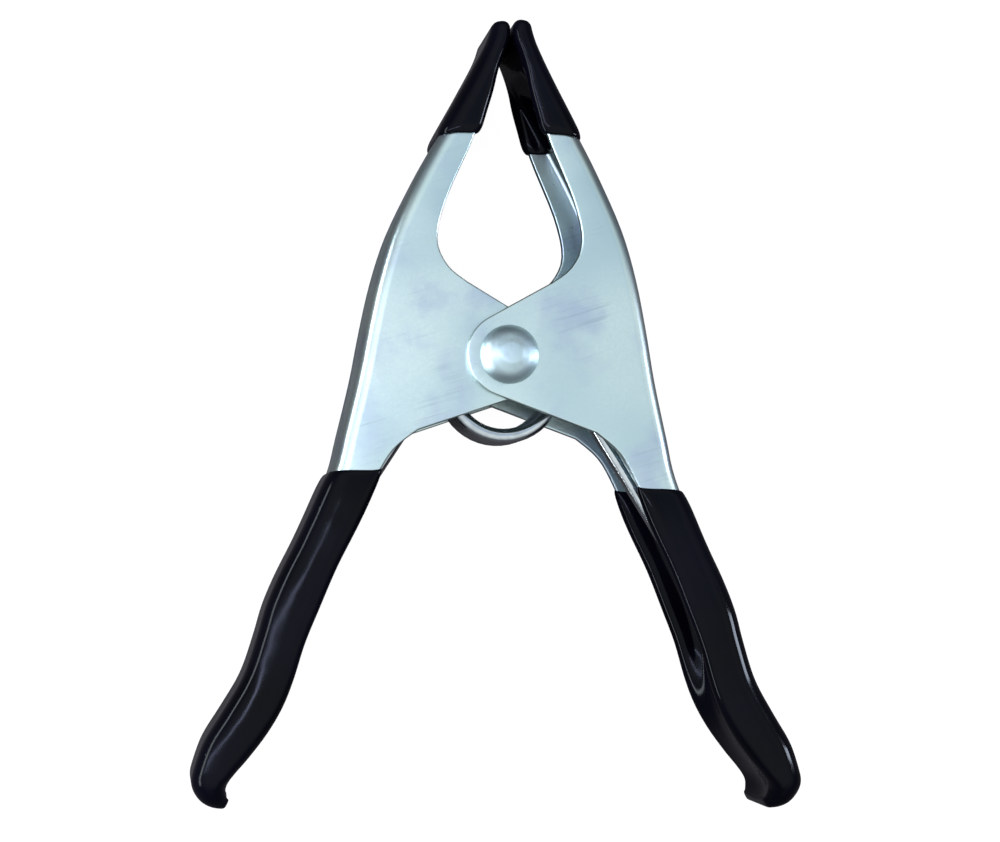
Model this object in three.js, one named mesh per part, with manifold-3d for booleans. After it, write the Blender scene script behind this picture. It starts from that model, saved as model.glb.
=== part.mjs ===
// Spring clamp: two stamped steel channel arms that cross at one rivet, a torsion spring coiled between
// their cheeks, and dipped vinyl on the handles and the jaw tips.
// Millimetres, +Z up. The clamp lies flat: the rivet stands along Z, the jaws point along +Y and the
// handles along -Y. The outlines below are the right arm's, with x and y measured from the rivet.

import * as THREE from 'three';
import { mergeVertices } from 'three/addons/utils/BufferGeometryUtils.js';
import Module from 'manifold-3d';

const wasm = await Module();
wasm.setup();

// Stamped arm
const sheet = 1; // steel thickness
const channelWidth = 16; // over both cheeks of one arm
const cheekGap = 0.15; // running gap between the crossing cheeks
const earRadius = 5.6;
const lowerEarAngle = THREE.MathUtils.degToRad(-109.5); // where the lower cheek edge leaves the ear
const upperEarAngle = THREE.MathUtils.degToRad(120); // where the throat edge leaves the ear
const jawEnd = [0.62, 43.2]; // inner corner of the spine's end
const jawShoulder = [9.2, 29.6]; // the spine is straight from the jaw's end to here
const toeCentre = [36.5, -55.7]; // the spine curls round this point at the handle's end
const toeRadius = 3.2;
const toeEndAngle = THREE.MathUtils.degToRad(-115);

// Outer face of the spine, from the jaw shoulder down to the toe
const spineBow = [
  jawShoulder, [11.85, 24.6], [15.25, 17.2], [17.3, 10.5], [18.75, 3.5], [19.9, -3],
  [21.6, -10.6], [22.9, -16], [26.2, -24], [28.8, -29.4], [30.5, -33.6], [31.6, -37.6],
  [33.3, -42.8], [35.9, -47.4], [38.3, -51.4], [toeCentre[0] + toeRadius, toeCentre[1]],
];
// Free edge of the cheeks: up the handle, then round the throat and up the jaw
const handleEdge = [
  [34.9, -54.2], [31.6, -50], [29.4, -46.3], [28, -42.6], [26.7, -38.1], [24.8, -33.3],
  [22.5, -27.7], [19.7, -22.1], [17.3, -16.7], [15, -12.8], [11.8, -10.13],
];
const throatEdge = [[5.6, 9.7], [8.2, 11.8], [9.6, 15.3], [8.4, 20.8], [4.9, 29.1]];
const jawEdge = [[3.1, 35.6], [2.95, 37.2], [2.7, 39.4]];

// Rivet
const shankRadius = 2.8;
const holeClearance = 0.3;
const headRadius = 3.95;
const headHeight = 2.1;
const formedHeadHeight = 1.2;
const headGap = 0.15; // under each head
const bossRadius = 1.4; // flat in the middle of each head

// Torsion spring
const wireRadius = 1;
const coilRadius = 7.3; // to the middle of the wire
const coilPitch = 2.15;
const wholeTurns = 4;
const coilCentreY = shankRadius + 0.3 - (coilRadius - wireRadius); // the coil hangs on the shank
const legAngle = THREE.MathUtils.degToRad(32.4); // where a leg leaves the coil, above the X axis
const legLength = 33;

// Dipped vinyl
const coat = 0.8; // from the steel to the outside of the vinyl
const coatGap = 0.15;
const tipGap = 0.1; // from each tip to the middle plane between the jaws
const tipDip = 29.3; // the jaw vinyl starts here and ends at the jaw's end
const rightGripDip = -17.2;
const leftGripDip = -15.4;

const steel = new THREE.MeshStandardMaterial({ color: 0xc3d0d2, roughness: 0.34, metalness: 1 });
const rivetSteel = new THREE.MeshStandardMaterial({ color: 0xc9d2d6, roughness: 0.28, metalness: 1 });
const springSteel = new THREE.MeshStandardMaterial({ color: 0xa9afb4, roughness: 0.2, metalness: 1 });
const vinyl = new THREE.MeshStandardMaterial({ color: 0x07070c, roughness: 0.16, metalness: 0 });

const vectors = (pairs) => pairs.map(([x, y]) => new THREE.Vector2(x, y));
const spineDirection = new THREE.Vector2(jawShoulder[0] - jawEnd[0], jawShoulder[1] - jawEnd[1]).normalize();

// The spine's outer face from the end of the jaw to the end of the toe
function spineLine() {
  const path = new THREE.Path();
  const outward = new THREE.Vector2(-spineDirection.y, spineDirection.x);
  path.moveTo(jawEnd[0] + sheet * outward.x, jawEnd[1] + sheet * outward.y);
  path.lineTo(...jawShoulder);
  path.splineThru(vectors(spineBow.slice(1)));
  path.absarc(...toeCentre, toeRadius, 0, toeEndAngle, true);
  return path.getPoints(3);
}

// The whole side view of an arm, as one closed outline
function armOutline() {
  const edge = new THREE.Path();
  edge.moveTo(...handleEdge[0]);
  edge.splineThru(vectors(handleEdge.slice(1)));
  edge.absarc(0, 0, earRadius, lowerEarAngle, upperEarAngle, true);
  edge.lineTo(...throatEdge[0]);
  edge.splineThru(vectors(throatEdge.slice(1)));
  edge.splineThru(vectors(jawEdge));
  edge.lineTo(...jawEnd);
  return withoutRepeats([...spineLine(), ...edge.getPoints(3)]);
}

// The inside of the channel: everything on the open side of the spine's inner face
function channelOutline(wall) {
  const face = offsetLine(spineLine(), -wall, false);
  const beyondJaw = face[0].clone().addScaledVector(spineDirection, -4);
  const farSide = -20;
  return [
    beyondJaw,
    ...face,
    new THREE.Vector2(farSide, face.at(-1).y),
    new THREE.Vector2(farSide, beyondJaw.y),
  ];
}

function withoutRepeats(points) {
  return points.filter((point, i) => point.distanceTo(points.at(i - 1)) > 0.02);
}

// Moves a clockwise line sideways, outwards where the distance is positive
function offsetLine(points, distance, closed) {
  const count = points.length;
  return points.map((point, i) => {
    const before = closed || i > 0 ? points.at(i - 1) : null;
    const after = closed || i < count - 1 ? points[(i + 1) % count] : null;
    const arriving = before ? point.clone().sub(before).normalize() : after.clone().sub(point).normalize();
    const leaving = after ? after.clone().sub(point).normalize() : arriving;
    const mitre = new THREE.Vector2(-arriving.y - leaving.y, arriving.x + leaving.x).normalize();
    const widening = Math.max(0.5, mitre.dot(new THREE.Vector2(-arriving.y, arriving.x)));
    return point.clone().addScaledVector(mitre, distance / widening);
  });
}

// Plate of the given outline, centred on z = 0
function plate(outline, thickness) {
  const geometry = new THREE.ExtrudeGeometry(new THREE.Shape(outline), { depth: thickness, bevelEnabled: false });
  geometry.translate(0, 0, -thickness / 2);
  return toSolid(geometry);
}

function block(low, high) {
  const size = new THREE.Vector3().subVectors(high, low);
  const geometry = new THREE.BoxGeometry(size.x, size.y, size.z);
  geometry.translate((low.x + high.x) / 2, (low.y + high.y) / 2, (low.z + high.z) / 2);
  return toSolid(geometry);
}

function toSolid(geometry) {
  const bare = geometry.clone();
  bare.deleteAttribute('normal');
  bare.deleteAttribute('uv');
  const merged = mergeVertices(bare, 1e-4);
  return new wasm.Manifold(new wasm.Mesh({
    numProp: 3,
    vertProperties: new Float32Array(merged.attributes.position.array),
    triVerts: new Uint32Array(merged.index.array),
  }));
}

function toGeometry(solid) {
  const { vertProperties, triVerts } = solid.getMesh();
  const geometry = new THREE.BufferGeometry();
  geometry.setAttribute('position', new THREE.BufferAttribute(vertProperties, 3));
  geometry.setIndex(new THREE.BufferAttribute(triVerts, 1));
  geometry.computeVertexNormals();
  return geometry;
}

// An arm without its rivet holes, grown by a margin on every face
function channel(margin) {
  const outside = plate(offsetLine(armOutline(), margin, true), channelWidth + 2 * margin);
  const inside = plate(channelOutline(sheet + margin), channelWidth - 2 * (sheet + margin));
  return outside.subtract(inside);
}

function armGeometry() {
  const hole = new THREE.CylinderGeometry(
    shankRadius + holeClearance, shankRadius + holeClearance, channelWidth + 2, 32);
  hole.rotateX(Math.PI / 2);
  return toGeometry(channel(0).subtract(toSolid(hole)));
}

// Vinyl inside and outside the channel, between two heights
function coatGeometry(lowY, highY) {
  const reach = 100;
  const dipped = block(new THREE.Vector3(tipGap, lowY, -reach), new THREE.Vector3(reach, highY, reach));
  return toGeometry(channel(coat).subtract(channel(coatGap)).intersect(dipped));
}

// Shank and both heads in one turned profile, its axis along Z
function rivetGeometry() {
  const underHead = channelWidth / 2 + (sheet + cheekGap) / 2 + headGap;
  const headProfile = (height, direction) => {
    const rise = new THREE.EllipseCurve(
      bossRadius, 0, headRadius - bossRadius, height, 0, Math.PI / 2);
    return rise.getPoints(6).map((p) => new THREE.Vector2(p.x, direction * (underHead + p.y)));
  };
  const profile = [
    ...headProfile(formedHeadHeight, -1).reverse(),
    new THREE.Vector2(shankRadius, -underHead),
    new THREE.Vector2(shankRadius, underHead),
    ...headProfile(headHeight, 1),
  ];
  profile.unshift(new THREE.Vector2(0, profile[0].y));
  profile.push(new THREE.Vector2(0, profile.at(-1).y));
  const geometry = new THREE.LatheGeometry(profile, 28);
  geometry.rotateX(Math.PI / 2);
  return toGeometry(toSolid(geometry));
}

// Left leg, coil and right leg: the wire runs clockwise, rising from the back cheek to the front one
class CoilCurve extends THREE.Curve {
  getPoint(t) {
    const turned = (wholeTurns * 2 * Math.PI + Math.PI - 2 * legAngle) * t;
    const angle = Math.PI - legAngle - turned;
    const height = (coilPitch * turned) / (2 * Math.PI) - coilRise() / 2;
    return new THREE.Vector3(
      coilRadius * Math.cos(angle), coilCentreY + coilRadius * Math.sin(angle), height);
  }
}

function coilRise() {
  return coilPitch * (wholeTurns + 0.5 - legAngle / Math.PI);
}

function springGeometry() {
  const coil = new CoilCurve();
  const legEnd = (start, side) => new THREE.Vector3(
    start.x + side * legLength * Math.sin(legAngle), start.y - legLength * Math.cos(legAngle), start.z);
  const wire = new THREE.CurvePath();
  wire.add(new THREE.LineCurve3(legEnd(coil.getPoint(0), -1), coil.getPoint(0)));
  wire.add(coil);
  wire.add(new THREE.LineCurve3(coil.getPoint(1), legEnd(coil.getPoint(1), 1)));
  const section = new THREE.Shape().absarc(0, 0, wireRadius, 0, 2 * Math.PI);
  const geometry = new THREE.ExtrudeGeometry(section, { extrudePath: wire, steps: 110, curveSegments: 4 });
  return toGeometry(toSolid(geometry));
}

function part(name, geometry, material) {
  const mesh = new THREE.Mesh(geometry, material);
  mesh.name = name;
  return mesh;
}

// Both arms are one stamping. The left one is turned over about Y, and each sits half a sheet and half
// the running gap off the middle, so the right arm's cheek lies on top at the front.
function side(prefix, gripDip) {
  const group = new THREE.Group();
  group.add(part(`${prefix}_arm`, armGeometry(), steel));
  group.add(part(`${prefix}_grip`, coatGeometry(-100, gripDip), vinyl));
  group.add(part(`${prefix}_jaw_tip`, coatGeometry(tipDip, 100), vinyl));
  for (const mesh of group.children) {
    mesh.position.z = (sheet + cheekGap) / 2;
  }
  return group;
}

const rightSide = side('right', rightGripDip);
const leftSide = side('left', leftGripDip);
leftSide.rotation.y = Math.PI;

const clamp = new THREE.Group();
clamp.add(rightSide, leftSide);
clamp.add(part('pivot_rivet', rivetGeometry(), rivetSteel));
clamp.add(part('torsion_spring', springGeometry(), springSteel));

// The origin is the middle of the box's underside
clamp.updateMatrixWorld(true);
const bounds = new THREE.Box3().setFromObject(clamp);
const middle = bounds.getCenter(new THREE.Vector3());
clamp.position.set(-middle.x, -middle.y, -bounds.min.z);

export default clamp;
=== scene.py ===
import math

import bmesh
import bpy
from mathutils import Matrix, Vector
from mathutils.geometry import interpolate_bezier


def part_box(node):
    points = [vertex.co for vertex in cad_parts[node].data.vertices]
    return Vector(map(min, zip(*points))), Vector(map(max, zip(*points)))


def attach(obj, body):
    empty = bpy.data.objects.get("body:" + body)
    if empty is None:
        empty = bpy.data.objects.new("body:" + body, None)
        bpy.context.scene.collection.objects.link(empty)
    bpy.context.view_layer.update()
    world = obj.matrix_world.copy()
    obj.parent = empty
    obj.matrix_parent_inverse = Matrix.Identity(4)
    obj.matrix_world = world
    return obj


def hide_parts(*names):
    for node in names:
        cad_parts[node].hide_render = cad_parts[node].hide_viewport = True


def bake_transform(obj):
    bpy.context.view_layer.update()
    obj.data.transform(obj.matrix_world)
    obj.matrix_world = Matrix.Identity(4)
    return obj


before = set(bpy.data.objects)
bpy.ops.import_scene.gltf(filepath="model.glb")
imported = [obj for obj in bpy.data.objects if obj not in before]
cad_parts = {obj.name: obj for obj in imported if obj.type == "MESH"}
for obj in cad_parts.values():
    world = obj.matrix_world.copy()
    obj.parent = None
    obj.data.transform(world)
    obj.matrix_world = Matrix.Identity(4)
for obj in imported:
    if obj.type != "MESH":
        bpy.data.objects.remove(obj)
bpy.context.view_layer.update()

mm = 0.001

# outlines are in millimetres from the rivet's axis, half way between the two arms' outer faces
rivetLow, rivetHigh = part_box("pivot_rivet")
leftLow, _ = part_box("left_arm")
rightLow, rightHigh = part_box("right_arm")
pivot = Vector((
    (rivetLow.x + rivetHigh.x) / 2,
    (rivetLow.y + rivetHigh.y) / 2,
    (leftLow.z + rightHigh.z) / 2,
))
cheekStep = (rightLow.z - leftLow.z) / 2 / mm  # how far each arm sits off the middle

sideBody = {"right": "right_side", "left": "left_side"}


def smoothLine(points, steps):
    # a soft line through every point
    points = [Vector(p) for p in points]
    last = len(points) - 1
    line = [points[0]]
    for i in range(last):
        before, start = points[max(i - 1, 0)], points[i]
        end, after = points[i + 1], points[min(i + 2, last)]
        line += interpolate_bezier(
            start, start + (end - before) / 6, end - (after - start) / 6, end, steps + 1)[1:]
    return line


def arcLine(centre, radius, start, end, steps):
    angles = [math.radians(start + (end - start) * i / steps) for i in range(steps + 1)]
    return [
        Vector((centre[0] + radius * math.cos(a), centre[1] + radius * math.sin(a)))
        for a in angles
    ]


def offsetLine(points, distance):
    # sideways, to the left of the line's own direction, with sharp corners held back
    moved = []
    for i, point in enumerate(points):
        arriving = (point - points[i - 1]).normalized() if i > 0 else None
        leaving = (points[i + 1] - point).normalized() if i < len(points) - 1 else arriving
        arriving = arriving or leaving
        across = Vector((-arriving.y - leaving.y, arriving.x + leaving.x)).normalized()
        widening = max(0.5, across.dot(Vector((-arriving.y, arriving.x))))
        moved.append(point + across * distance / widening)
    return moved


def lineAt(line, height):
    # where a line that runs down crosses a height
    for a, b in zip(line, line[1:]):
        if a.y >= height >= b.y and a.y > b.y:
            return a.lerp(b, (a.y - height) / (a.y - b.y))
    return line[-1]


def pointAlong(line, share):
    # the point at a share of a line's length
    lengths = [(b - a).length for a, b in zip(line, line[1:])]
    left = share * sum(lengths)
    for a, b, length in zip(line, line[1:], lengths):
        if left <= length:
            return a.lerp(b, left / length if length else 0)
        left -= length
    return line[-1].copy()


def crossing(start, direction, line):
    # where a ray first meets a line
    for a, b in zip(line, line[1:]):
        span = b - a
        turn = direction.x * span.y - direction.y * span.x
        if abs(turn) < 1e-9:
            continue
        gap = a - start
        far = (gap.x * span.y - gap.y * span.x) / turn
        along = (gap.x * direction.y - gap.y * direction.x) / turn
        if far > 0 and -0.001 <= along <= 1.001:
            return start + direction * far
    return None


def softRise(value, low, high):
    # 0 at low, 1 at high, eased at both ends
    share = min(1, max(0, (value - low) / (high - low)))
    return share * share * (3 - 2 * share)


def placePiece(mesh, name, node, material):
    mesh.materials.append(material)
    piece = bpy.data.objects.new(name, mesh)
    bpy.context.scene.collection.objects.link(piece)
    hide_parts(node)
    return piece


def finishPiece(bm, name, body, node, material):
    # puts a mesh drawn round the rivet into its place on the clamp
    bmesh.ops.transform(bm, matrix=Matrix.Translation(pivot) @ Matrix.Scale(mm, 4), verts=bm.verts)
    for face in bm.faces:
        face.smooth = True
    mesh = bpy.data.meshes.new(name)
    bm.to_mesh(mesh)
    bm.free()
    piece = placePiece(mesh, name, node, material)
    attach(piece, body)
    return piece


def turnForSide(bm, side):
    # both sides are the same stamping, and the left one is turned over about Y
    bmesh.ops.translate(bm, verts=bm.verts, vec=(0, 0, cheekStep))
    if side == "left":
        halfTurn = Matrix.Rotation(math.pi, 3, "Y")
        bmesh.ops.rotate(bm, verts=bm.verts, cent=(0, 0, 0), matrix=halfTurn)


def solidify(piece, thickness):
    wall = piece.modifiers.new("wall", "SOLIDIFY")
    wall.thickness = thickness * mm
    wall.offset = -1
    wall.use_even_offset = False
    return wall


armPlan = {
    "sheet": 1.0,
    "width": 16.0,
    "bend": 1.95,  # outer radius of the two long bends
    "bendSteps": 6,
    "burr": 0.26,  # softened cut edges
    "burrSteps": 2,
    "burrAngle": 40,
    "earRadius": 5.6,
    "earAngles": (-109.5, -240),
    "earSteps": 20,
    "lineSteps": 4,
    "near": 0.01,
    "holeRadius": 3.1,
    "holeSteps": 32,
    "cheekCorners": 20,  # only the two cheeks have more corners than this
    "spineTop": (5.26, 36.79),  # the cheeks stop here, and a flat plate runs on
    "plateEnd": (1.466, 43.73),
    "plateHalfWidth": 7.6,
    "flatLength": 5,  # the spine's flat is longer than this at its top, and the bends are shorter
    "plateLength": 9,  # the plate is shorter than this along its sides
    "shoulder": (9.2, 29.6),
    "spine": [
        (11.85, 24.6), (15.25, 17.2), (17.3, 10.5), (18.75, 3.5), (19.9, -3), (21.6, -10.6),
        (22.9, -16), (26.2, -24), (28.8, -29.4), (30.5, -33.6), (31.6, -37.6), (33.3, -42.8),
        (35.9, -47.4), (38.3, -51.4),
    ],
    "toeCentre": (36.5, -55.7),
    "toeRadius": 3.2,
    "toeEnd": -20,
    "toeSteps": 3,
    "handleEdge": [
        (36.1, -55.55), (34.9, -54.2), (31.6, -50), (29.4, -46.3), (28, -42.6), (26.7, -38.1),
        (24.8, -33.3), (22.5, -27.7), (19.7, -22.1), (17.3, -16.7), (15, -12.8), (11.8, -10.13),
    ],
    "throatEdge": [(5.6, 9.7), (8.2, 11.8), (9.6, 15.3), (8.4, 20.8), (4.9, 29.1), (3.1, 35.6)],
}


def spineLine(plan):
    toe, radius = plan["toeCentre"], plan["toeRadius"]
    toeStart = (toe[0] + radius, toe[1])
    bow = smoothLine([plan["shoulder"], *plan["spine"], toeStart], plan["lineSteps"])
    curl = arcLine(toe, radius, 0, plan["toeEnd"], plan["toeSteps"])
    return [Vector(plan["spineTop"]), *bow, *curl[1:]]


def edgeLine(plan):
    handle = smoothLine(plan["handleEdge"], plan["lineSteps"])
    ear = arcLine((0, 0), plan["earRadius"], *plan["earAngles"], plan["earSteps"])
    throat = smoothLine(plan["throatEdge"], plan["lineSteps"])
    return [*handle, *ear, *throat]


def onlyVerts(geometry):
    return [g for g in geometry if isinstance(g, bmesh.types.BMVert)]


def drawArm(plan):
    half = plan["width"] / 2
    spine, edge = spineLine(plan), edgeLine(plan)
    bm = bmesh.new()
    free = bm.verts.layers.int.new("freeEdge")
    ring = [bm.verts.new((p.x, p.y, -half)) for p in spine + edge]
    for v in ring[len(spine):]:
        v[free] = 1
    cheek = bm.faces.new(ring)
    grown = bmesh.ops.extrude_face_region(bm, geom=[cheek], use_keep_orig=True)["geom"]
    bmesh.ops.translate(bm, verts=onlyVerts(grown), vec=(0, 0, 2 * half))
    bmesh.ops.recalc_face_normals(bm, faces=bm.faces)

    # the channel is open along its free edge and at both ends
    openSides = [f for f in bm.faces if abs(f.normal.z) < 0.5 and any(v[free] for v in f.verts)]
    bmesh.ops.delete(bm, geom=openSides, context="FACES")
    longEdges = [
        e for e in bm.edges
        if not any(v[free] for v in e.verts)
        and abs(e.verts[0].co.z - e.verts[1].co.z) < plan["near"]
    ]
    bmesh.ops.bevel(
        bm, geom=longEdges, offset=plan["bend"], offset_type="OFFSET", segments=plan["bendSteps"],
        profile=0.5, affect="EDGES", clamp_overlap=False, material=-1, loop_slide=False,
    )
    cutRivetHoles(bm, plan)
    addJawPlate(bm, plan)
    bmesh.ops.recalc_face_normals(bm, faces=bm.faces)
    return bm


def cutRivetHoles(bm, plan):
    for cheek in [f for f in bm.faces if len(f.verts) > plan["cheekCorners"]]:
        rim = list(cheek.edges)
        level = Matrix.Translation((0, 0, cheek.verts[0].co.z))
        bmesh.ops.delete(bm, geom=[cheek], context="FACES_ONLY")
        hole = bmesh.ops.create_circle(
            bm, segments=plan["holeSteps"], radius=plan["holeRadius"], matrix=level)
        rim += dict.fromkeys(e for v in hole["verts"] for e in v.link_edges)
        bmesh.ops.triangle_fill(
            bm, use_beauty=True, use_dissolve=False, edges=rim, normal=(0, 0, 1))


def addJawPlate(bm, plan):
    # a flat plate at the top of the spine, with wings that make it wider than the spine's flat
    top = Vector(plan["spineTop"])
    reach = Vector(plan["plateEnd"]) - top
    wingWidth = plan["plateHalfWidth"] - plan["width"] / 2 + plan["bend"]
    flat = [
        e for e in bm.edges
        if e.is_boundary and all((v.co.xy - top).length < plan["near"] for v in e.verts)
        and e.calc_length() > plan["flatLength"]
    ]
    for e in flat:
        verts = onlyVerts(bmesh.ops.extrude_edge_only(bm, edges=[e])["geom"])
        bmesh.ops.translate(bm, verts=verts, vec=(reach.x, reach.y, 0))
        sides = [
            s for v in verts for s in v.link_edges
            if s.is_boundary and s.calc_length() < plan["plateLength"]
        ]
        for side in dict.fromkeys(sides):
            wing = onlyVerts(bmesh.ops.extrude_edge_only(bm, edges=[side])["geom"])
            outwards = math.copysign(wingWidth, wing[0].co.z)
            bmesh.ops.translate(bm, verts=wing, vec=(0, 0, outwards))


def makeArm(side, plan, material):
    bm = drawArm(plan)
    turnForSide(bm, side)
    piece = finishPiece(
        bm, f"{side}_steel_arm", sideBody[side], f"{side}_arm", material)
    solidify(piece, plan["sheet"])
    burr = piece.modifiers.new("burr", "BEVEL")
    burr.width = plan["burr"] * mm
    burr.segments = plan["burrSteps"]
    burr.limit_method = "ANGLE"
    burr.angle_limit = math.radians(plan["burrAngle"])
    burr.use_clamp_overlap = False
    shade = piece.modifiers.new("shade", "WEIGHTED_NORMAL")
    shade.keep_sharp = True


# how the dipped coats are divided across their section; shares are of a straight, angles of a bend
coatSteps = {
    "outerFlat": (0, 0.3, 0.6, 0.85, 1),
    "outerBend": (22.5, 45, 67.5, 90),
    "cheek": (0.33, 0.67, 1),
    "rimOut": (40, 90),
    "rimIn": (140, 180),
    "innerCheek": (0.5, 1),
    "innerBend": (45, 90),
    "innerFlat": (0.66, 0.33, 0),
    "rimShare": 0.42,  # the most of the depth that the rounding of a free edge takes
    "smallestBend": 0.02,
    "sagDepth": 5,  # a web this deep or deeper sags fully
    "lipReach": 0.25,
    "levels": 2,
    "weld": 0.001,
}


def radiansOf(name):
    return [math.radians(a) for a in coatSteps[name]]


# a section runs from the middle of the outer face, over the bend, down the cheek, round its free
# edge and back to the middle of the inner face, as (inwards, sideways) pairs; web 1 is a closed
# hollow and web 0 an open one
def channelSection(depth, half, plan, web):
    wall, steps = plan["wall"], coatSteps
    rim = min(wall / 2 * (1 + plan["rimGrowth"] * web), depth * steps["rimShare"])
    bend = min(plan["bend"], depth - rim)
    inner = min(plan["innerBend"], max(depth - rim - wall, steps["smallestBend"]))
    rimCentre = (depth - rim, half - rim)

    outside = [(0, (half - bend) * k) for k in steps["outerFlat"]]
    outside += [(bend * (1 - math.cos(a)), half - bend + bend * math.sin(a))
                for a in radiansOf("outerBend")]
    outside += [(bend + (depth - rim - bend) * k, half) for k in steps["cheek"]]
    outside += [(rimCentre[0] + rim * math.sin(a), rimCentre[1] + rim * math.cos(a))
                for a in radiansOf("rimOut")]

    floor = max(depth - rim, wall + inner)
    hollow = [(rimCentre[0] + rim * math.sin(a), rimCentre[1] + rim * math.cos(a))
              for a in radiansOf("rimIn")]
    hollow += [(floor + (wall + inner - floor) * k, half - 2 * rim) for k in steps["innerCheek"]]
    hollow += [(wall + inner * (1 - math.sin(a)), half - 2 * rim - inner * (1 - math.cos(a)))
               for a in radiansOf("innerBend")]
    hollow += [(wall, (half - 2 * rim - inner) * k) for k in steps["innerFlat"]]

    sag = plan["webSag"] * min(1, depth / steps["sagDepth"])
    inside = []
    for i, open_ in enumerate(hollow):
        k = 1 - (i + 1) / len(hollow)
        closed = (depth - sag * (1 - k * k), (half - rim) * k)
        inside.append(Vector(open_).lerp(Vector(closed), web))
    return [Vector(p) for p in outside] + inside


def drawCoat(rows, plan):
    # rows of (outer point, free edge point, half width, web), drawn as half a grid and mirrored
    sections = [
        channelSection((inner - outer).length, half, plan, web) for outer, inner, half, web in rows
    ]
    across = len(sections[0])
    bm = bmesh.new()
    bmesh.ops.create_grid(bm, x_segments=across - 1, y_segments=len(rows) - 1, size=0.5)
    skin = bm.verts.layers.deform.verify()
    for v in bm.verts:
        i = round((v.co.x + 0.5) * (across - 1))
        j = round((v.co.y + 0.5) * (len(rows) - 1))
        outer, inner = rows[j][0], rows[j][1]
        inwards = (inner - outer).normalized()
        u, z = sections[j][i]
        v.co = (outer.x + inwards.x * u, outer.y + inwards.y * u, z)
        v[skin][0] = min(1, (inner - outer).length / plan["fullSkinDepth"])
    weld = coatSteps["weld"]
    bmesh.ops.mirror(bm, geom=[*bm.verts, *bm.edges, *bm.faces], axis="Z", merge_dist=weld)
    bmesh.ops.remove_doubles(bm, verts=bm.verts, dist=weld)
    return bm


def roundedEnd(row, plan):
    # a few more rows that draw the end in to a soft nose
    outer, inner, half, _ = row
    rows = []
    for angle in plan["endAngles"]:
        a = math.radians(angle)
        drawnIn = 1 - math.cos(a)
        pinch = drawnIn * plan["endPinch"]
        reach = Vector(plan["endReach"]) * math.sin(a)
        narrow = half - plan["endCorner"] * drawnIn
        ends = outer.lerp(inner, pinch) + reach, inner.lerp(outer, pinch) + reach
        rows.append((*ends, narrow, 1))
    return rows


def closeEnd(bm, row, size):
    # fills the last ring of a coat
    middle = (row[0] + row[1]) / 2
    ring = [
        e for e in bm.edges
        if e.is_boundary and all((v.co.xy - middle).length < size for v in e.verts)
    ]
    bmesh.ops.holes_fill(bm, edges=ring, sides=0)


def thinLip(bm, dip, plan):
    # the coat thins out at its dip line
    bm.normal_update()
    for v in bm.verts:
        if abs(v.co.y - dip) < coatSteps["lipReach"] and any(e.is_boundary for e in v.link_edges):
            v.co -= v.normal * plan["lip"]


def makeCoat(side, rows, dip, plan, name, node, material):
    bm = drawCoat(rows, plan)
    closeEnd(bm, rows[-1], plan["endSize"])
    bmesh.ops.recalc_face_normals(bm, faces=bm.faces)
    thinLip(bm, dip, plan)
    turnForSide(bm, side)
    piece = finishPiece(
        bm, f"{side}_{name}", sideBody[side], f"{side}_{node}", material)

    # the skin is thinner where the coat closes up round the end of the steel
    piece.vertex_groups.new(name="skin")
    wall = solidify(piece, plan["skin"])
    wall.vertex_group = "skin"
    smooth = piece.modifiers.new("soften", "SUBSURF")
    smooth.levels = coatSteps["levels"]
    smooth.render_levels = coatSteps["levels"]


gripPlan = {
    "wall": 2.46,  # vinyl, steel and vinyl
    "bend": 2.65,
    "innerBend": 1.3,
    "proud": 0.73,  # vinyl outside the steel
    "skin": 0.58,
    "fullSkinDepth": 6,
    "lip": 0.3,
    "halfWidth": 8.73,
    "webSag": 0.9,
    "rimGrowth": 0.35,  # how much rounder the free edges are where the hollow is closed
    "webStart": -37,
    "webFull": -49,
    "dip": {"right": -17.2, "left": -15.4},
    "squaringLength": 7,  # from the level dip line to sections square to the handle
    "lineSteps": 4,
    "dipGap": 0.5,
    "curlGap": 0.3,
    "hookGap": 0.9,
    "toeRows": 12,
    "toeTaper": 6.5,
    "toeTaperStart": 0.35,
    "toeArcEnd": -92,
    "toeArcSteps": 9,
    "toeInside": [(34.6, -54.85), (35.45, -55.95), (35.85, -56.9), (35.8, -57.6), (35.7, -58.2)],
    "toeInsideSteps": 3,
    "endReach": (-0.45, -0.1),
    "endCorner": 1.6,
    "endPinch": 0.36,
    "endAngles": (30, 60, 80),
    "endSize": 2.2,
}


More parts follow.
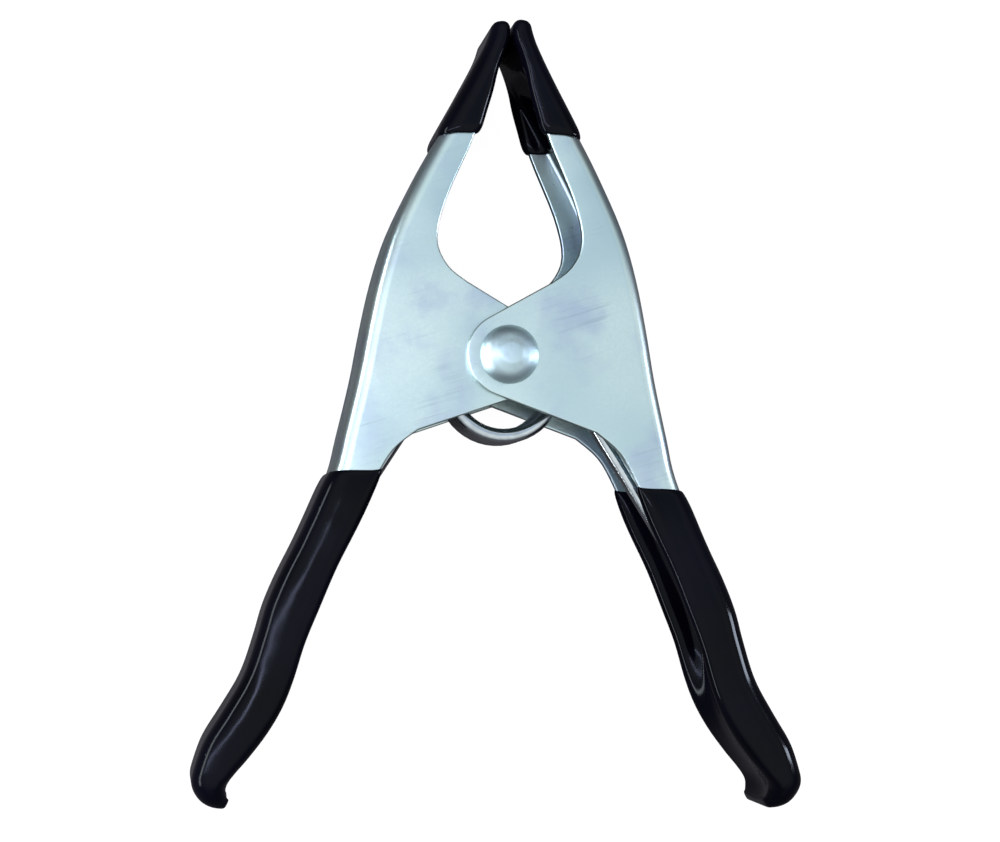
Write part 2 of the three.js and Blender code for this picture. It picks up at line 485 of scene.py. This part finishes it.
def gripRows(side, plan, arm):
    proud, dip = plan["proud"], plan["dip"][side]
    radius = arm["toeRadius"] + proud
    curl = arcLine(arm["toeCentre"], radius, 0, plan["toeArcEnd"], plan["toeArcSteps"])
    spine = [p for p in offsetLine(spineLine(arm), proud) if p.y > curl[0].y + plan["curlGap"]]
    outside = spine + curl
    steelEdge = smoothLine(arm["handleEdge"][1:], plan["lineSteps"])
    inside = offsetLine(list(reversed(steelEdge)), -proud)
    hook = Vector(plan["toeInside"][0])

    # down the handle the section stands square to the outer face, starting level at the dip line
    below = [lineAt(outside, dip)] + [p for p in outside if p.y < dip - plan["dipGap"]]
    rows = []
    travelled = 0
    for i, point in enumerate(below):
        before = below[max(i - 1, 0)]
        travelled += (point - before).length
        along = (below[i + 1] - before).normalized()
        square = Vector((along.y, -along.x))
        turned = min(1, travelled / plan["squaringLength"])
        inwards = Vector((-1, 0)).lerp(square, turned).normalized()
        reach = crossing(point, inwards, inside)
        if reach is None or reach.y < hook.y + plan["hookGap"]:
            break
        web = softRise(-point.y, -plan["webStart"], -plan["webFull"])
        rows.append((point, reach, plan["halfWidth"], web))

    # round the toe the free end turns about the hook
    outerRest = below[i - 1:]
    innerRest = [rows[-1][1], *smoothLine(plan["toeInside"], plan["toeInsideSteps"])]
    for k in range(1, plan["toeRows"] + 1):
        t = k / plan["toeRows"]
        half = plan["halfWidth"] - plan["toeTaper"] * max(0, t - plan["toeTaperStart"]) ** 2
        rows.append((pointAlong(outerRest, t), pointAlong(innerRest, t), half, 1))
    return rows + roundedEnd(rows[-1], plan)


def makeGrip(side, plan, arm, material):
    rows = gripRows(side, plan, arm)
    makeCoat(side, rows, plan["dip"][side], plan, "vinyl_grip", "grip", material)


tipPlan = {
    "wall": 2.3,
    "bend": 2.6,
    "innerBend": 0.9,
    "skin": 0.55,
    "fullSkinDepth": 5,
    "lip": 0.3,
    "halfWidth": 8.7,
    "webSag": 0,
    "rimGrowth": -0.2,
    "webStart": 35.6,
    "webFull": 38.6,
    "dip": 29.3,
    "outside": [
        (9.95, 29.3), (8.85, 31.45), (7.75, 33.5), (6.45, 35.9), (5.2, 38.3), (4.05, 40.5),
        (3.25, 42.2), (2.75, 43.7),
    ],
    "inside": [
        (4.0, 29.3), (3.6, 30.5), (2.95, 32.8), (2.25, 35.2), (1.95, 36.6), (1.8, 37.6),
        (1.4, 39.2), (0.75, 41.0), (0.18, 42.5), (0.1, 44.0),
    ],
    "lineSteps": 4,
    "rows": 16,
    "endNarrowing": 0.3,
    "endStart": 0.86,  # share of the length where the sides begin to draw in
    "endReach": (0, 1.05),
    "endCorner": 1.2,
    "endPinch": 0.36,
    "endAngles": (25, 50, 70, 85),
    "endSize": 1.0,
}


def tipRows(plan):
    outside, inside = (smoothLine(plan[line], plan["lineSteps"]) for line in ("outside", "inside"))
    rows = []
    for k in range(plan["rows"] + 1):
        t = k / plan["rows"]
        outer, inner = pointAlong(outside, t), pointAlong(inside, t)
        ending = max(0, (t - plan["endStart"]) / (1 - plan["endStart"]))
        half = plan["halfWidth"] - plan["endNarrowing"] * ending ** 2
        rows.append((outer, inner, half, softRise(outer.y, plan["webStart"], plan["webFull"])))
    return rows + roundedEnd(rows[-1], plan)


def makeTip(side, plan, material):
    makeCoat(side, tipRows(plan), plan["dip"], plan, "vinyl_tip", "jaw_tip", material)


rivetPlan = {
    "shank": 2.8,
    "steps": 64,
    # (radius, height over the cheek) from the middle of a head outwards
    "head": [
        (0, 2.1), (1.2, 2.09), (1.5, 2.02), (1.75, 1.88), (2.3, 1.7), (2.9, 1.35), (3.4, 0.88),
        (3.75, 0.4), (3.9, 0.12), (3.85, 0),
    ],
    "formedHead": [
        (0, 1.2), (1.6, 1.18), (2.0, 1.08), (2.6, 0.92), (3.2, 0.66), (3.65, 0.34), (3.85, 0.1),
        (3.8, 0),
    ],
    "headGap": 0.15,
    "shankInset": 0.05,
    "weld": 0.0005,
    "sharpAngle": 50,
}


def makeRivet(plan, material):
    under = armPlan["width"] / 2 + cheekStep + plan["headGap"]
    shankEnd = under - plan["shankInset"]
    profile = [(r, under + h) for r, h in plan["head"]]
    profile += [(plan["shank"], shankEnd), (plan["shank"], -shankEnd)]
    profile += [(r, -under - h) for r, h in reversed(plan["formedHead"])]
    bm = bmesh.new()
    line = [bm.verts.new((r, 0, z)) for r, z in profile]
    edges = [bm.edges.new(pair) for pair in zip(line, line[1:])]
    bmesh.ops.spin(
        bm, geom=line + edges, axis=(0, 0, 1), cent=(0, 0, 0), angle=2 * math.pi,
        steps=plan["steps"], use_merge=True,
    )
    bmesh.ops.remove_doubles(bm, verts=bm.verts, dist=plan["weld"])
    bmesh.ops.recalc_face_normals(bm, faces=bm.faces)
    piece = finishPiece(bm, "domed_rivet", "pivot", "pivot_rivet", material)
    piece.data.set_sharp_from_angle(angle=math.radians(plan["sharpAngle"]))


springPlan = {
    "wire": 1.0,  # wire radius
    "wireSteps": 6,
    "coil": 7.3,
    "pitch": 2.15,
    "turns": 4,
    "centreY": -3.2,
    "legAngle": 32.4,
    "legLength": 33,
    "legSteps": (0.02, 0.25, 0.5, 0.75, 1),
    "stepsPerTurn": 48,
    "blendReach": 3.5,  # from the middle of the coil to where it moves wholly with its arm
    "sharpAngle": 50,
}


def springPath(plan, direction):
    # from the middle of the coil out to the end of one leg
    leg = math.radians(plan["legAngle"])
    total = plan["turns"] * 2 * math.pi + math.pi - 2 * leg
    steps = round(plan["stepsPerTurn"] * total / (4 * math.pi))
    points = []
    for i in range(steps + 1):
        turned = total / 2 * i / steps
        angle = math.pi / 2 - direction * turned
        x = plan["coil"] * math.cos(angle)
        y = plan["centreY"] + plan["coil"] * math.sin(angle)
        points.append(Vector((x, y, direction * plan["pitch"] * turned / (2 * math.pi))))
    last = points[-1]
    away = Vector((direction * math.sin(leg), -math.cos(leg), 0)) * plan["legLength"]
    return points + [last + away * share for share in plan["legSteps"]]


def makeSpringHalf(plan, side, material):
    name = f"{side}_spring_half"
    direction = 1 if side == "right" else -1
    curve = bpy.data.curves.new(name, "CURVE")
    curve.dimensions = "3D"
    curve.bevel_depth = plan["wire"] * mm
    curve.bevel_resolution = plan["wireSteps"]
    curve.use_fill_caps = True
    spline = curve.splines.new("POLY")
    path = springPath(plan, direction)
    spline.points.add(len(path) - 1)
    for knot, point in zip(spline.points, path):
        knot.co = (*(pivot + point * mm), 1)
    wire = bpy.data.objects.new(name, curve)
    mesh = bpy.data.meshes.new_from_object(wire)
    bpy.data.objects.remove(wire)
    mesh.materials.clear()
    for face in mesh.polygons:
        face.use_smooth = True
    piece = placePiece(mesh, name, "torsion_spring", material)
    mesh.set_sharp_from_angle(angle=math.radians(plan["sharpAngle"]))
    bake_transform(piece)


def newGroup(name, inputs, output):
    group = bpy.data.node_groups.new(name, "ShaderNodeTree")
    for label, kind, value in inputs:
        socket = group.interface.new_socket(name=label, in_out="INPUT", socket_type=kind)
        if value is not None:
            socket.default_value = value
    group.interface.new_socket(name=output, in_out="OUTPUT", socket_type="NodeSocketFloat")
    return group, group.nodes.new("NodeGroupInput"), group.nodes.new("NodeGroupOutput")


def addNode(tree, kind, settings=None, **values):
    node = tree.nodes.new(kind)
    for key, value in (settings or {}).items():
        setattr(node, key, value)
    for key, value in values.items():
        node.inputs[key.replace("_", " ")].default_value = value
    return node


mottleRoughness = 0.55

scratchPlan = {
    "stretch": (1, 0.03, 0.4),
    "detail": 2.0,
    "roughness": 0.6,
    "whole": 0.8,  # lines are at full strength from here
    "patchScale": 90.0,
    "patchDetail": 2.0,
    "patchEdge": (0.45, 0.62),
}


def buildMottle():
    # soft cloudy patches, 0 to 1
    group, given, out = newGroup(
        "cloudyPatches",
        [
            ("Vector", "NodeSocketVector", None), ("Scale", "NodeSocketFloat", 100),
            ("Detail", "NodeSocketFloat", 3), ("Low", "NodeSocketFloat", 0.35),
            ("High", "NodeSocketFloat", 0.65),
        ],
        "Mask",
    )
    noise = addNode(group, "ShaderNodeTexNoise", Roughness=mottleRoughness)
    reach = addNode(group, "ShaderNodeMapRange", {"interpolation_type": "SMOOTHSTEP"})
    link = group.links.new
    for label in ("Vector", "Scale", "Detail"):
        link(given.outputs[label], noise.inputs[label])
    link(noise.outputs["Fac"], reach.inputs["Value"])
    link(given.outputs["Low"], reach.inputs["From Min"])
    link(given.outputs["High"], reach.inputs["From Max"])
    link(reach.outputs["Result"], out.inputs["Mask"])
    return group


def buildScratches(plan):
    # long fine lines along one direction, broken up by a wide noise
    group, given, out = newGroup(
        "fineScratches",
        [
            ("Vector", "NodeSocketVector", None), ("Angle", "NodeSocketFloat", 0),
            ("Scale", "NodeSocketFloat", 900), ("Cut", "NodeSocketFloat", 0.62),
        ],
        "Mask",
    )
    turn = addNode(group, "ShaderNodeVectorRotate", {"rotation_type": "Z_AXIS"})
    stretch = addNode(group, "ShaderNodeVectorMath", {"operation": "MULTIPLY"})
    stretch.inputs[1].default_value = plan["stretch"]
    lines = addNode(
        group, "ShaderNodeTexNoise", Detail=plan["detail"], Roughness=plan["roughness"])
    patches = addNode(
        group, "ShaderNodeTexNoise", Scale=plan["patchScale"], Detail=plan["patchDetail"])
    soft = {"interpolation_type": "SMOOTHSTEP"}
    edge = plan["patchEdge"]
    sharp = addNode(group, "ShaderNodeMapRange", soft, From_Max=plan["whole"])
    spread = addNode(group, "ShaderNodeMapRange", soft, From_Min=edge[0], From_Max=edge[1])
    both = addNode(group, "ShaderNodeMath", {"operation": "MULTIPLY"})
    link = group.links.new
    link(given.outputs["Vector"], turn.inputs["Vector"])
    link(given.outputs["Angle"], turn.inputs["Angle"])
    link(turn.outputs["Vector"], stretch.inputs[0])
    link(stretch.outputs["Vector"], lines.inputs["Vector"])
    link(given.outputs["Scale"], lines.inputs["Scale"])
    link(given.outputs["Vector"], patches.inputs["Vector"])
    link(lines.outputs["Fac"], sharp.inputs["Value"])
    link(given.outputs["Cut"], sharp.inputs["From Min"])
    link(patches.outputs["Fac"], spread.inputs["Value"])
    link(sharp.outputs["Result"], both.inputs[0])
    link(spread.outputs["Result"], both.inputs[1])
    link(both.outputs["Value"], out.inputs["Mask"])
    return group


mottle = buildMottle()
scratches = buildScratches(scratchPlan)


def newMaterial(name):
    material = bpy.data.materials.new(name)
    material.use_nodes = True
    return material, material.node_tree, material.node_tree.nodes["Principled BSDF"]


def objectPlace(tree):
    return tree.nodes.new("ShaderNodeTexCoord").outputs["Object"]


def useGroup(tree, group, vector, values):
    node = tree.nodes.new("ShaderNodeGroup")
    node.node_tree = group
    tree.links.new(vector, node.inputs["Vector"])
    for key, value in values.items():
        node.inputs[key].default_value = value
    return node.outputs[0]


def mixColour(tree, fac, a, b):
    # the colour sockets are picked by kind, because a mix node also has float and vector ones
    node = addNode(tree, "ShaderNodeMix", {"data_type": "RGBA"})
    colours = [s for s in node.inputs if s.type == "RGBA"]
    tree.links.new(fac, node.inputs[0])
    for socket, value in zip(colours, (a, b)):
        if isinstance(value, tuple):
            socket.default_value = value
        else:
            tree.links.new(value, socket)
    return [s for s in node.outputs if s.type == "RGBA"][0]


def ramp(tree, value, low, high, fromLow=0.0, fromHigh=1.0):
    node = addNode(
        tree, "ShaderNodeMapRange", From_Min=fromLow, From_Max=fromHigh, To_Min=low, To_Max=high)
    tree.links.new(value, node.inputs["Value"])
    return node.outputs["Result"]


def bumpFrom(tree, shader, first, second, distance):
    # relief from the sum of two heights
    total = addNode(tree, "ShaderNodeMath", {"operation": "ADD"})
    tree.links.new(first, total.inputs[0])
    tree.links.new(second, total.inputs[1])
    bump = addNode(tree, "ShaderNodeBump", Strength=1.0, Distance=distance * mm)
    tree.links.new(total.outputs["Value"], bump.inputs["Height"])
    tree.links.new(bump.outputs["Normal"], shader.inputs["Normal"])


zincFinish = {
    "pale": (0.76, 0.86, 0.80, 1),
    "cool": (0.57, 0.70, 0.69, 1),
    "blush": (0.50, 0.56, 0.68, 1),
    "grain": (0.56, 0.66, 0.67, 1),
    "scratch": (0.34, 0.43, 0.46, 1),
    "coolPatches": {"Scale": 55, "Detail": 1, "Low": 0.3, "High": 0.7},
    "blushPatches": {"Scale": 95, "Detail": 4, "Low": 0.46, "High": 0.66},
    "blushMost": 0.75,
    "grainPatches": {"Scale": 2400, "Detail": 2, "Low": 0.15, "High": 0.85},
    "grainMost": 0.35,
    "scratchLines": {"Angle": 1.25, "Scale": 2200, "Cut": 0.5},
    "scratchMost": 0.6,
    "roughness": (0.27, 0.31),
}


def makeZinc(look):
    material, tree, shader = newMaterial("platedZinc")
    at = objectPlace(tree)
    cool = useGroup(tree, mottle, at, look["coolPatches"])
    blush = useGroup(tree, mottle, at, look["blushPatches"])
    grain = useGroup(tree, mottle, at, look["grainPatches"])
    lines = useGroup(tree, scratches, at, look["scratchLines"])
    colour = mixColour(tree, cool, look["pale"], look["cool"])
    colour = mixColour(tree, ramp(tree, blush, 0, look["blushMost"]), colour, look["blush"])
    colour = mixColour(tree, ramp(tree, grain, 0, look["grainMost"]), colour, look["grain"])
    colour = mixColour(tree, ramp(tree, lines, 0, look["scratchMost"]), colour, look["scratch"])
    tree.links.new(colour, shader.inputs["Base Color"])
    tree.links.new(ramp(tree, grain, *look["roughness"]), shader.inputs["Roughness"])
    shader.inputs["Metallic"].default_value = 1
    return material


rivetFinish = {
    "pale": (0.62, 0.74, 0.77, 1),
    "dull": (0.36, 0.46, 0.50, 1),
    "dullMost": 0.55,
    "patches": {"Scale": 380, "Detail": 3, "Low": 0.4, "High": 0.7},
    "grain": {"Scale": 1800, "Detail": 3, "Low": 0.35, "High": 0.65},
    "roughness": (0.40, 0.52),
    "grainHeight": 0.4,
    "relief": 0.012,
}

wireFinish = {
    "pale": (0.66, 0.68, 0.70, 1),
    "dull": (0.34, 0.35, 0.37, 1),
    "dullMost": 0.6,
    "patches": {"Scale": 260, "Detail": 3, "Low": 0.4, "High": 0.75},
    "grain": {"Scale": 2600, "Detail": 2, "Low": 0.4, "High": 0.6},
    "roughness": (0.10, 0.22),
    "grainHeight": 0.3,
    "relief": 0.004,
}


def makeBareSteel(name, look):
    material, tree, shader = newMaterial(name)
    at = objectPlace(tree)
    patches = useGroup(tree, mottle, at, look["patches"])
    grain = useGroup(tree, mottle, at, look["grain"])
    colour = mixColour(tree, ramp(tree, patches, 0, look["dullMost"]), look["pale"], look["dull"])
    tree.links.new(colour, shader.inputs["Base Color"])
    tree.links.new(ramp(tree, patches, *look["roughness"]), shader.inputs["Roughness"])
    shader.inputs["Metallic"].default_value = 1
    bumpFrom(tree, shader, patches, ramp(tree, grain, 0, look["grainHeight"]), look["relief"])
    return material


vinylFinish = {
    "black": (0.0012, 0.0013, 0.0026, 1),
    "violet": (0.0024, 0.0022, 0.0060, 1),
    "violetPatches": {"Scale": 70, "Detail": 2, "Low": 0.35, "High": 0.7},
    "waves": {"Scale": 190, "Detail": 1, "Low": 0.2, "High": 0.8},
    "bubbleScale": 420,
    "bubbleSize": (0.02, 0.09),
    "bubbleHeight": 0.5,
    "relief": 0.03,
    "roughness": (0.09, 0.16),
    "specular": 0.10,
}


def makeVinyl(look):
    material, tree, shader = newMaterial("dippedVinyl")
    at = objectPlace(tree)
    violet = useGroup(tree, mottle, at, look["violetPatches"])
    waves = useGroup(tree, mottle, at, look["waves"])
    specks = addNode(tree, "ShaderNodeTexVoronoi", {"feature": "F1"}, Scale=look["bubbleScale"])
    tree.links.new(at, specks.inputs["Vector"])
    bubble = ramp(tree, specks.outputs["Distance"], 1, 0, *look["bubbleSize"])
    colour = mixColour(tree, violet, look["black"], look["violet"])
    tree.links.new(colour, shader.inputs["Base Color"])
    tree.links.new(ramp(tree, violet, *look["roughness"]), shader.inputs["Roughness"])
    shader.inputs["Specular IOR Level"].default_value = look["specular"]
    bumpFrom(tree, shader, waves, ramp(tree, bubble, 0, look["bubbleHeight"]), look["relief"])
    return material


zinc = makeZinc(zincFinish)
rivetSteel = makeBareSteel("satinRivetSteel", rivetFinish)
wireSteel = makeBareSteel("polishedWire", wireFinish)
vinyl = makeVinyl(vinylFinish)
print("finishes ready")

for side in ("left", "right"):
    makeArm(side, armPlan, zinc)
    makeGrip(side, gripPlan, armPlan, vinyl)
    makeTip(side, tipPlan, vinyl)
    makeSpringHalf(springPlan, side, wireSteel)
    print(f"{side} side drawn")
makeRivet(rivetPlan, rivetSteel)
print("rivet drawn")


studio = {
    "cameraAt": (-45.11, -27.88, 300.0),  # from the rivet
    "cameraTurn": (3.595, -8.621, 0.702),
    "lens": 80.96,
    "sensor": 36,
    "clip": 0.01,
    "floor": 6.0,
    "floorDrop": 0.02,
    "floorGrey": (0.135, 0.12, 0.12, 1),
    "floorWhite": (0.965, 0.965, 0.97, 1),
    "floorRoughness": 0.9,
    "lights": [
        # place and target from the rivet, width, height, watts, colour
        ("leftStrip", (-215, 10, 340), (-20, -10, 0), 15, 420, 0.42, (0.60, 0.66, 1)),
        ("leftLow", (-330, -40, 90), (-20, -20, 0), 420, 55, 0.95, (0.84, 0.94, 1)),
        ("rightBox", (330, 12, 100), (20, -30, 0), 40, 110, 0.45, (0.72, 0.82, 1)),
    ],
    "skyTop": (0.86, 0.955, 0.98, 1),
    "skyLow": (0.12, 0.13, 0.15, 1),
    "skyBand": (0.30, 0.80),  # where the sky goes from low to top, as the height of its direction
    "skyStrength": 1.03,
    "darkPatch": (0.30, 0.30, 0.905),  # a soft darker patch of sky that shades the upper right arm
    "darkPatchSize": (0.925, 0.992),
    "darkPatchColour": (0.50, 0.62, 0.78, 1),
}


def makeFloorFinish(plan):
    # nearly white to look at, and greyer in reflections, like a table inside a light tent
    material, tree, shader = newMaterial("paleFloor")
    shader.inputs["Base Color"].default_value = plan["floorGrey"]
    shader.inputs["Roughness"].default_value = plan["floorRoughness"]
    shader.inputs["Specular IOR Level"].default_value = 0
    glow = addNode(tree, "ShaderNodeEmission", Color=plan["floorWhite"], Strength=1.0)
    rays = addNode(tree, "ShaderNodeLightPath")
    both = addNode(tree, "ShaderNodeAddShader")
    pick = addNode(tree, "ShaderNodeMixShader")
    link = tree.links.new
    link(shader.outputs[0], both.inputs[0])
    link(glow.outputs[0], both.inputs[1])
    link(rays.outputs["Is Camera Ray"], pick.inputs[0])
    link(shader.outputs[0], pick.inputs[1])
    link(both.outputs[0], pick.inputs[2])
    link(pick.outputs[0], tree.nodes["Material Output"].inputs["Surface"])
    return material


def makeFloor(plan):
    bm = bmesh.new()
    bmesh.ops.create_grid(bm, x_segments=1, y_segments=1, size=plan["floor"] / 2)
    mesh = bpy.data.meshes.new("floor")
    bm.to_mesh(mesh)
    bm.free()
    mesh.materials.append(makeFloorFinish(plan))
    floor = bpy.data.objects.new("floor", mesh)
    floor.location.z = -plan["floorDrop"] * mm
    bpy.context.scene.collection.objects.link(floor)


def makeCamera(plan):
    lens = bpy.data.cameras.new("camera")
    lens.lens = plan["lens"]
    lens.sensor_width = plan["sensor"]
    lens.sensor_fit = "HORIZONTAL"
    lens.clip_start = plan["clip"]
    camera = bpy.data.objects.new("camera", lens)
    camera.location = pivot + Vector(plan["cameraAt"]) * mm
    camera.rotation_euler = [math.radians(a) for a in plan["cameraTurn"]]
    bpy.context.scene.collection.objects.link(camera)
    bpy.context.scene.camera = camera


def makeLights(plan):
    for name, place, target, width, height, watts, colour in plan["lights"]:
        panel = bpy.data.lights.new(name, "AREA")
        panel.shape = "RECTANGLE"
        panel.size, panel.size_y = width * mm, height * mm
        panel.energy = watts
        panel.color = colour
        light = bpy.data.objects.new(name, panel)
        light.location = pivot + Vector(place) * mm
        light.rotation_euler = (Vector(target) - Vector(place)).to_track_quat("-Z", "Y").to_euler()
        bpy.context.scene.collection.objects.link(light)


def makeSky(plan):
    world = bpy.data.worlds.new("studio")
    world.use_nodes = True
    tree = world.node_tree
    sky = tree.nodes["Background"]
    direction = addNode(tree, "ShaderNodeTexCoord").outputs["Generated"]
    split = addNode(tree, "ShaderNodeSeparateXYZ")
    tree.links.new(direction, split.inputs["Vector"])
    height = ramp(tree, split.outputs["Z"], 0, 1, *plan["skyBand"])
    toPatch = addNode(tree, "ShaderNodeVectorMath", {"operation": "DOT_PRODUCT"})
    toPatch.inputs[1].default_value = Vector(plan["darkPatch"]).normalized()
    tree.links.new(direction, toPatch.inputs[0])
    patch = ramp(tree, toPatch.outputs["Value"], 0, 1, *plan["darkPatchSize"])
    top = mixColour(tree, patch, plan["skyTop"], plan["darkPatchColour"])
    tree.links.new(mixColour(tree, height, plan["skyLow"], top), sky.inputs["Color"])
    sky.inputs["Strength"].default_value = plan["skyStrength"]
    bpy.context.scene.world = world


makeCamera(studio)
makeFloor(studio)
makeLights(studio)
makeSky(studio)
bpy.context.scene.view_settings.view_transform = "Standard"
print("studio ready")
